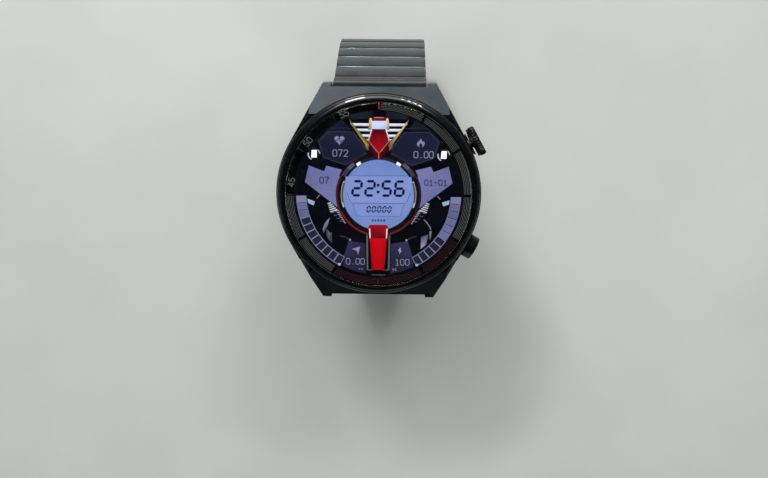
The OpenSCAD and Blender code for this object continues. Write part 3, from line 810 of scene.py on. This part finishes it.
# bright stripes either side of the jewel
for s in (1, -1):
    for k, (v0, v1, reach) in enumerate([(16.0, 15.4, 6.3), (14.8, 14.25, 4.9), (13.55, 13.0, 3.9),
                                         (12.5, 12.1, 2.9)]):
        d.poly([(-1.7 * s, v0), (-1.7 * s, v1), (-(reach - 0.5) * s, v1), (-reach * s, v0)],
               [("e9f0ff", 1.05), "c8d4ee", "a9b2cc", "f4f6fb"], 4)
        shade = [(-1.7 * s, v1), (-1.7 * s, v1 - 0.5), (-(reach - 0.9) * s, v1 - 0.5),
                 (-(reach - 0.5) * s, v1)]
        d.poly(shade, "05060a", 4)
    fin = [(-6.65, 17.0), (-5.75, 15.9), (-2.1, 11.35), (-2.35, 10.35), (-2.95, 11.2), (-5.95, 15.6)]
    fin = fin if s == 1 else mirrored(fin)
    gold = ["6c5a2e", "e2cf8c", "7c5b1c", "5b4210", "c39a41", "b59750"]
    d.poly(fin, gold if s == 1 else gold[::-1], 6)
    d.path([(-2.9 * s, 11.05), (-2.35 * s, 10.15)], 0.2, "77757c", 5)

# cut jewel at twelve
d.poly([(-1.85, 17.4), (1.85, 17.4), (1.6, 16.6), (-1.6, 16.6)], ["5c0a18"] * 2 + ["8c1024"] * 2, 5)
d.poly([(-1.1, 17.35), (1.1, 17.35), (1.1, 17.2), (-1.1, 17.2)], "c98a98", 6)
d.poly([(-1.6, 16.55), (1.6, 16.55), (1.6, 14.75), (-1.6, 14.75)],
       ["d3def8", "c7d9f8", "a9bfe6", "cddcf8"], 5)
for s in (1, -1):
    d.poly([(-1.6 * s, 17.0), (-1.6 * s, 14.7), (-2.3 * s, 14.4), (-2.2 * s, 16.6), (-1.95 * s, 17.2)],
           ["f2ead2", "b59a5e", "6e5420", "c7a863", "fff6e0"], 6)
    d.poly([(-1.45 * s, 14.6), (-1.62 * s, 14.75), (-2.5 * s, 12.3), (-2.3 * s, 11.9)],
           ["f4e9ee", "ffffff", "a893a4", "9a8090"], 6)
    d.poly([(-2.3 * s, 12.0), (-2.05 * s, 12.0), (-0.25 * s, 9.85), (-0.3 * s, 9.5)],
           ["c98088", "7a1020", "8a1020", "d0888e"], 6)
    d.poly([(-2.1 * s, 11.6), (-0.35 * s, 9.6), (-0.3 * s, 8.0), (-1.2 * s, 8.0), (-2.9 * s, 9.6)],
           ["38040c", "5e0a14", "4c0810", "14060a", "0a0508"], 4)
d.poly([(-1.45, 14.7), (1.45, 14.7), (2.2, 12.0), (0.0, 9.6), (-2.2, 12.0)],
       ["4c040e", "4c040e", "8c0616", "ab0a1a", "8c0616"], 5)
d.poly([(-0.9, 14.4), (0.9, 14.4), (0.7, 12.3), (0, 10.9), (-0.7, 12.3)],
       ["48030c", "48030c", "7c0614", "a40a1a", "7c0614"], 6)
d.bar((0, 9.7), (0, 7.95), 0.36, "a01020", 6)
d.bar((0, 9.7), (0, 8.2), 0.1, "d88a90", 7)

# central liquid-crystal panel and its dark collar
d.disc(9.55, "0a0b10", 4)
d.arc(9.1, 9.4, 150, 330, "5c1420", 5)
d.arc(9.1, 9.4, -30, 30, "3c1420", 5)
d.arc(9.0, 9.2, 205, 320, "7a1c22", 6)
d.arc(9.25, 9.4, 110, 150, "3a1016", 5)
d.arc(9.25, 9.4, 30, 70, "3a1016", 5)
for s in (1, -1):
    f = angles_on(s)
    d.arc(8.45, 9.25, f(128), f(139), "55566c", 7)
    d.arc(8.45, 9.25, f(139.4), f(151), "3a3a4e", 7)
    d.arc(7.95, 8.6, f(118.5), f(126), ("f3f5fa", 1.05), 8)
    d.arc(8.0, 8.4, f(128), f(156), "10131c", 8)
    d.arc(8.05, 8.4, f(158), f(200), "b4b6c0", 7)
    d.arc(8.05, 8.3, f(160), f(192), "55504c", 8)
    d.arc(8.0, 8.6, f(96), f(117), "1c2230", 6)
d.disc(8.05, "2c3450", 6)
lcd = []
for k in range(96):
    a = 2 * pi * k / 96
    lcd.append((7.92 * cos(a), 7.92 * sin(a)))
tones = []
for u, v in lcd:
    tones.append("7288c8" if v > 4.4 else "7c8fcb" if v > -2 else "748ac6")
d.poly(lcd, tones, 9)
d.bar((-6.55, 4.42), (6.55, 4.42), 0.1, "4f62a0", 10)
d.poly([(-7.3, 4.1), (7.3, 4.1), (7.5, 2.2), (6.9, -1.85), (-6.8, -1.85), (-7.5, 2.2)],
       ["7d90d2"] * 2 + ["8092d2"] * 4, 10)
time_panel = [(-7.25, 3.9), (7.25, 3.9), (7.35, 1.5), (6.35, -1.45), (5.9, -1.75), (-5.9, -1.75),
              (-6.35, -1.45), (-7.35, 1.5)]
d.poly(time_panel, ["7f93cf"] * 2 + ["8494cf"] * 6, 11)
d.path([(-7.05, 0.6), (-6.35, -1.5), (-5.9, -1.85), (5.9, -1.85), (6.35, -1.5), (7.05, 0.6)], 0.13,
       "4c5a94", 12)
d.poly([(-5.75, -2.1), (5.75, -2.1), (4.95, -4.7), (-4.95, -4.7)], "7d91ce", 11)
d.path([(-5.7, -2.05), (-4.95, -4.65), (-4.7, -4.8), (4.7, -4.8), (4.95, -4.65), (5.7, -2.05)], 0.12,
       "5a66a2", 12)
INK = "0b1038"
for ch, u in zip("2256", (-5.85, -2.95, 0.75, 3.6)):
    segment_figure(d, ch, u, -0.1, 1.85, 3.2, 0.58, INK, 13, 0.09)
for v in (2.25, 0.7):
    d.poly([(-0.42, v - 0.3), (0.16, v - 0.3), (0.22, v + 0.3), (-0.36, v + 0.3)], INK, 13)
for k in range(5):
    segment_figure(d, "0", -2.6 + 1.16 * k, -3.85, 0.66, 1.25, 0.3, "10174a", 13, 0.16)
for k in range(5):
    u = -1.3 + 0.65 * k
    d.poly([(u - 0.2, -6.0), (u + 0.2, -6.0), (u + 0.2, -5.5), (u - 0.2, -5.5)], "34427c", 13)

# red bar at six
d.poly([(-2.25, -7.2), (-1.75, -6.75), (1.75, -6.75), (2.25, -7.2), (1.95, -9.85), (-1.95, -9.85)],
       ["8e0a18", "a80d1c", "a80d1c", "8e0a18", "620612", "620612"], 12)
d.poly([(-2.0, -9.85), (2.0, -9.85), (1.45, -17.2), (-1.45, -17.2)],
       ["b8030e"] * 2 + ["900610"] * 2, 12)
d.poly([(-1.2, -9.9), (1.2, -9.9), (0.9, -17.1), (-0.9, -17.1)],
       ["c9020e"] * 2 + ["ad030e"] * 2, 13)
for s in (1, -1):
    d.poly([(-2.1 * s, -7.6), (-1.8 * s, -7.7), (-1.7 * s, -9.8), (-1.95 * s, -9.85)],
           ["ffe4e8", "ffd0d6", "f4b4bc", "ffe8ea"], 14)
    d.path([(-1.95 * s, -10.0), (-1.42 * s, -17.2)], 0.1, "3a060c", 14)
d.bar((-1.5, -18.35), (1.6, -18.35), 0.12, "5b6064", 4)
d.build("dial_display", "case", M["lit"], "display", (), 30)

# printed ring between the display and the glass edge; the print glows with painted light, standing in for the
# lamp light it would catch under the glass
ring_w = GLASS_W - 0.016
mask = Form()
outer = GLASS_R - 0.024
band(mask, DIAL, [(18.95, ring_w - 0.004), (outer, ring_w - 0.004), (outer, ring_w), (18.95, ring_w)], 256)
mask.build("dial_mask", "case", M["mask"], "display")
ring_print = Dial(ring_w - 0.002)
LINES = [19.06, 19.4, 19.74, 20.08, 20.42]
for k in range(12):
    a0, a1 = 30 * k + 0.9, 30 * k + 29.1
    middle = 30 * k + 15
    if 100 <= middle <= 180:  # the minute numbers stand here
        continue
    warm = middle > 250 and middle < 330
    tone = "361c22" if warm else "545654"
    for r in LINES:
        ring_print.arc(r, r + 0.11, a0, a1, tone, 2)
for a in range(96, 181, 6):
    start = 19.15 if a % 30 == 0 else 20.2
    ring_print.path([(r * cos(radians(a)), r * sin(radians(a))) for r in (start, 20.45)], 0.09, "3c3e40", 2)
for text, a in (("45", 172), ("50", 143), ("55", 113)):
    figures(ring_print, text, 19.6 * cos(radians(a)), 19.6 * sin(radians(a)), 1.3, "5e605e", 2, 0.13, a - 90)
ring_print.path([(0, 19.2), (0, 20.45)], 0.26, "a01c24", 3)
ring_print.path([(0, -19.2), (0, -20.45)], 0.22, "4a1418", 3)
ring_print.build("dial_ring_print", "case", M["print"], "display")

# ---- crown and button ----


at = stem_place(1)
back, face = extent("crown_cap", at[0], at[3])
CROWN_R = 3.45
TEETH = 36


def gear(at, r, depth, w):
    """A loop of TEETH rounded ribs."""
    o, s, u, a = at
    loop = []
    for k in range(TEETH):
        for f, q in ((0.0, 1.0), (0.16, 0.75), (0.28, 0.12), (0.5, 0.0), (0.72, 0.12), (0.84, 0.75)):
            t = 2 * pi * (k + f) / TEETH
            rr = r - depth * (1 - q)
            loop.append(o + s * (rr * cos(t)) + u * (rr * sin(t)) + a * w)
    return loop


cap = Form()
rows = [(2.7, 0, face - 0.46), (2.75, 0, face - 0.5), (2.75, 0, back), (CROWN_R - 0.24, 0, back),
        (CROWN_R - 0.1, 0.12, back + 0.05), (CROWN_R, 0.2, back + 0.16), (CROWN_R, 0.2, face - 0.34),
        (CROWN_R - 0.06, 0.2, face - 0.2), (CROWN_R - 0.2, 0.12, face - 0.08), (CROWN_R - 0.42, 0.0, face),
        (2.6, 0, face), (2.52, 0, face - 0.07), (2.3, 0, face - 0.07), (2.22, 0, face), (1.2, 0, face),
        (0.4, 0, face)]
cap.loft([gear(at, r, depth, w) for r, depth, w in rows])
cap.build("crown_knurled", "crown", M["crown"], "crown_black", ["crown_cap"], 40)
ring_lo, ring_hi = extent("crown_ring", at[0], at[3])
ring = band(Form(), at, rounded([(2.76, ring_lo, 0.04), (CROWN_R - 0.15, ring_lo, 0.08),
                                 (CROWN_R - 0.12, ring_hi, 0.03), (2.76, ring_hi, 0.02)]), 144)
ring.build("crown_red_ring", "crown", M["red"], "crown_red", ["crown_ring"])

at = stem_place(-1)
stem_end, face = extent("button_cap", at[0], at[3])
BUTTON_R, BUTTON_H = 2.7, 2.05
HOLLOW_DEPTH, WALL = 1.65, 0.28
back = face - BUTTON_H
hollow = face - HOLLOW_DEPTH
rows = [(1.0, stem_end), (1.0, face - 0.46), (2.0, face - 0.46), (2.0, hollow), (BUTTON_R - WALL, hollow),
        (BUTTON_R - WALL, back), (BUTTON_R - 0.1, back), (BUTTON_R, back + 0.08)]
for k in range(3):
    w = back + 0.14 + 0.15 * k
    rows += [(BUTTON_R, w), (BUTTON_R - 0.06, w + 0.03), (BUTTON_R - 0.06, w + 0.07), (BUTTON_R, w + 0.1)]
rows += [(BUTTON_R, face - 0.16), (BUTTON_R - 0.06, face - 0.06), (BUTTON_R - 0.2, face), (1.9, face),
         (1.84, face - 0.05), (1.7, face - 0.05), (1.64, face), (0.3, face)]
button = turned(Form(), at, rows, 128)
button.build("button_pad", "button", M["crown"], "crown_black", ["button_cap"], 40)


# ---- bracelet ----

GAP = 0.175
KNUCKLE, POCKET, PIN, HOLE = 1.05, 1.13, 0.5, 0.55
HALF, TONGUE, PLAY = 10.5, 5.0, 0.12
OUT, IN_SIDE = 1.85, 1.15
BEVEL_Y, BEVEL_Z, BEVEL_TOP = 0.75, 0.8, 0.35  # the lower bevel's run, its fall and where it starts


def bevel_meet(r):
    """Where a circle about the pivot meets the lower bevel of a link, as (y, z)."""
    a = BEVEL_Y ** 2 + BEVEL_Z ** 2
    b = 2 * (GAP * BEVEL_Y + BEVEL_TOP * BEVEL_Z)
    c = GAP ** 2 + BEVEL_TOP ** 2 - r ** 2
    t = (-b + sqrt(b * b - 4 * a * c)) / (2 * a)
    return GAP + BEVEL_Y * t, -BEVEL_TOP - BEVEL_Z * t


def end_side(cut_r):
    """Points of a link's near end from the outer arris down to the wrist side, (y, z)."""
    top_z = sqrt(cut_r ** 2 - GAP ** 2)
    y1, z1 = bevel_meet(cut_r)
    a0, a1 = math.degrees(math.atan2(top_z, GAP)), math.degrees(math.atan2(z1, y1))
    return [(GAP, 1.2), (GAP, top_z + 0.02)] + arc_points(0, 0, cut_r, a0, a1, 14) \
        + [(GAP + BEVEL_Y, -IN_SIDE)]


def plain_side():
    return [(GAP, 1.2), (GAP, 0.4), (GAP, -BEVEL_TOP), (GAP + 0.1, -0.5), (GAP + BEVEL_Y, -IN_SIDE)]


def domed(length):
    """The outer face from the far arris back to the near one: a shallow crown with eased ends."""
    y0, y1 = GAP + 0.42, length - GAP - 0.42
    pts = [(length - GAP - 0.05, 1.36), (length - GAP - 0.2, 1.52)]
    for k in range(13):
        t = k / 12
        y = y1 + (y0 - y1) * t
        pts.append((y, 1.63 + 0.22 * (1 - (2 * t - 1) ** 2)))
    return pts + [(GAP + 0.2, 1.52), (GAP + 0.05, 1.36)]


def link_outline(length, near, far):
    """Closed outline: near end downward, wrist side, far end upward, outer face back."""
    back_side = [(length - y, z) for y, z in far][::-1]
    return near + back_side + domed(length)


def frame_of(near, far, side):
    """A link's frame: its near pivot, the way to its far pivot, and the way out of the bracelet."""
    along = (far - near).normalized()
    outward = Vector((0, -along.z, along.y)) * side
    return near, along, outward


def knuckles(form, at, length):
    for s in (1, -1):
        x0, x1 = sorted((s * (TONGUE + PLAY), s * (HALF - 0.2)))
        bolt(form, at, length, 0, KNUCKLE, x0, x1)
    bolt(form, at, length, 0, PIN, -HALF + 0.35, HALF - 0.35, 0.1)


def three_slabs(form, at, outer, centre):
    slab(form, at, outer, -HALF, -TONGUE - PLAY / 2, 0.16, 0.0)
    slab(form, at, centre, -TONGUE - PLAY / 2, TONGUE + PLAY / 2)
    slab(form, at, outer, TONGUE + PLAY / 2, HALF, 0.0, 0.16)


def make_link(name, near, far, side):
    form, at = Form(), frame_of(near, far, side)
    length = (far - near).length
    three_slabs(form, at, link_outline(length, end_side(POCKET), plain_side()),
                link_outline(length, end_side(HOLE), end_side(POCKET)))
    bolt(form, at, 0, 0, KNUCKLE, -TONGUE, TONGUE, 0.08, HOLE)
    knuckles(form, at, length)
    form.build(name + "_form", name, M["link"], "bracelet_metal", [name], 28)


def make_end_link(name, near, far, side):
    form, at = Form(), frame_of(near, far, side)
    length = (far - near).length
    nose = [(0, OUT), (0, 1.2)] + arc_points(0, 0, 1.2, 90, -73.4, 20)
    top = [(length - GAP - 0.05, 1.36), (length - GAP - 0.2, 1.52), (length - GAP - 0.42, 1.66),
           (length - GAP - 0.9, 1.78)]
    for y in (3.7, 1.9):
        top += [(y + 0.5, 1.85), (y + 0.36, 1.83), (y + 0.3, 1.62), (y + 0.05, 1.62), (y - 0.01, 1.83),
                (y - 0.15, 1.85)]
    for far_side, spans in ((plain_side(), ((-HALF, -TONGUE - PLAY / 2), (TONGUE + PLAY / 2, HALF))),
                            (end_side(POCKET), ((-TONGUE - PLAY / 2, TONGUE + PLAY / 2),))):
        outline = nose + [(length - y, z) for y, z in far_side][::-1] + top
        for x0, x1 in spans:
            slab(form, at, outline, x0, x1, 0.14 if x0 == -HALF else 0.0, 0.14 if x1 == HALF else 0.0)
    bolt(form, at, 0, 0, OUT, -HALF, HALF, 0.08, 0.97)
    knuckles(form, at, length)
    form.build(name + "_form", name, M["end"], "bracelet_metal", [name], 28)


for tag, side in (("12", 1), ("6", -1)):
    stops = [place_of(f"link_{tag}_{i}_bend") for i in range(1, 10)]
    clasp_end = place_of("clasp_cover_bend")
    stops.append(Vector((0, side * clasp_end.y, clasp_end.z)))
    make_end_link(f"end_link_{tag}", place_of(f"end_link_{tag}_swing"), stops[0], side)
    for i in range(1, 10 if side > 0 else 9):
        make_link(f"link_{tag}_{i}", stops[i - 1], stops[i], side)

# ---- CAD nodes that keep their own shape ----

KEEP = {
    "steel": ["back_screws", "vibration_motor", "crown_switch", "button_switch", "spring_bars", "button_clip",
              "clasp_pins"],
    "back": ["case_back"], "rubber": ["back_gasket", "display_gasket", "stem_seals"],
    "smoke": ["sensor_window"], "board": ["sensor_board", "main_board"], "gold": ["charge_pads", "crown_cup"],
    "wrap": ["battery"], "chip": ["board_chips", "speaker"], "plastic": ["inner_frame"],
    # painted shade: the steel crown stem and springs are darkened for the shaded gap under the crown
    "screen": ["display_panel"], "dark": ["clasp_pusher_right", "clasp_pusher_left", "crown_stem",
                                          "crown_spring", "button_spring"],
    "crown": ["crown_tube", "button_tube"],
    "link": ["link_6_9", "clasp_cover"], "blade": ["clasp_blade_outer", "clasp_blade_inner"],
}
EASED = {"case_back": 0.12, "clasp_cover": 0.16, "clasp_blade_outer": 0.1, "clasp_blade_inner": 0.1,
         "clasp_pusher_right": 0.08, "clasp_pusher_left": 0.08, "link_6_9": 0.1, "battery": 0.3}
for key, names in KEEP.items():
    for name in names:
        ob = frame["nodes"][name]
        for i in range(len(ob.data.materials)):
            ob.data.materials[i] = M[key]
        if name in EASED:
            ease(ob, EASED[name])

# ---- floor, light and camera ----

floor = Form()
floor.loft([[Vector((x, y, w)) for x, y in ((-2500, -2500), (2500, -2500), (2500, 2500), (-2500, 2500))]
            for w in (-4.0, 0.0)])
ground = floor.build("floor", None, floor_paint("pale_floor"), None)


LIT_POINT = Vector((0, 0, 0.06))


def softbox(name, azimuth, tilt, distance, size, power):
    """An area light, tilt degrees away from straight overhead toward the azimuth."""
    a, t = radians(azimuth), radians(tilt)
    where = LIT_POINT + Vector((cos(a) * sin(t), sin(a) * sin(t), cos(t))) * distance
    data = bpy.data.lights.new(name, "AREA")
    data.shape = "RECTANGLE"
    data.size, data.size_y = size
    data.energy = power
    ob = bpy.data.objects.new(name, data)
    bpy.context.scene.collection.objects.link(ob)
    ob.location = where
    ob.rotation_euler = (LIT_POINT - where).to_track_quat("-Z", "Y").to_euler()
    ob.visible_transmission = False


softbox("key", 92, 34, 0.75, (0.6, 0.4), 4.2)
softbox("fill_left", 190, 76, 0.8, (0.6, 0.3), 1.8)
softbox("fill_right", 330, 78, 0.8, (0.6, 0.3), 1.4)
softbox("back_low", 270, 76, 0.9, (0.7, 0.3), 1.2)
softbox("strip", 108.8, 45, 0.6, (0.105, 0.06), 1.4)
for k, azimuth in enumerate((74.7, 69.7, 65.5, 61.2)):
    softbox(f"lamp_{k + 1}", azimuth, 45, 0.6, (0.016, 0.03), 0.16)

world = bpy.data.worlds.new("studio")
bpy.context.scene.world = world
world.use_nodes = True
sky = world.node_tree
direction = sky.nodes.new("ShaderNodeTexCoord").outputs["Generated"]
height = sky.nodes.new("ShaderNodeSeparateXYZ")
sky.links.new(direction, height.inputs[0])
ramp = sky.nodes.new("ShaderNodeValToRGB")
sky.links.new(height.outputs[2], ramp.inputs[0])
for stop, position, strength in zip(ramp.color_ramp.elements, (0.15, 0.55), (0.5, 0.006)):
    stop.position = position
    stop.color = lin("e2e7ec", strength)
sky.links.new(ramp.outputs[0], sky.nodes["Background"].inputs[0])
sky.nodes["Background"].inputs[1].default_value = 1.0

camera_data = bpy.data.cameras.new("camera")
camera_data.sensor_width = 36.0
camera_data.lens = 52.6
camera_data.clip_start = 0.01
camera = bpy.data.objects.new("camera", camera_data)
bpy.context.scene.collection.objects.link(camera)
VIEW_TILT, VIEW_DISTANCE = radians(10.5), 0.25
SIDEWAYS = 0.02  # how far the camera stands to the right, over its distance
AIM_BELOW, AIM_SIDE, ROLL = radians(2.1892), radians(0.838), radians(0.6)
look = Vector((0, 0, (CASE_Z + GLASS_TOP) * MM))
camera.location = look + Vector((SIDEWAYS, sin(VIEW_TILT), cos(VIEW_TILT))) * VIEW_DISTANCE
camera.matrix_world = (Matrix.Translation(camera.location)
                       @ Matrix.Rotation(-VIEW_TILT - AIM_BELOW, 4, "X")
                       @ Matrix.Rotation(AIM_SIDE, 4, "Y") @ Matrix.Rotation(ROLL, 4, "Z"))
bpy.context.scene.camera = camera
bpy.context.scene.view_settings.view_transform = "Standard"
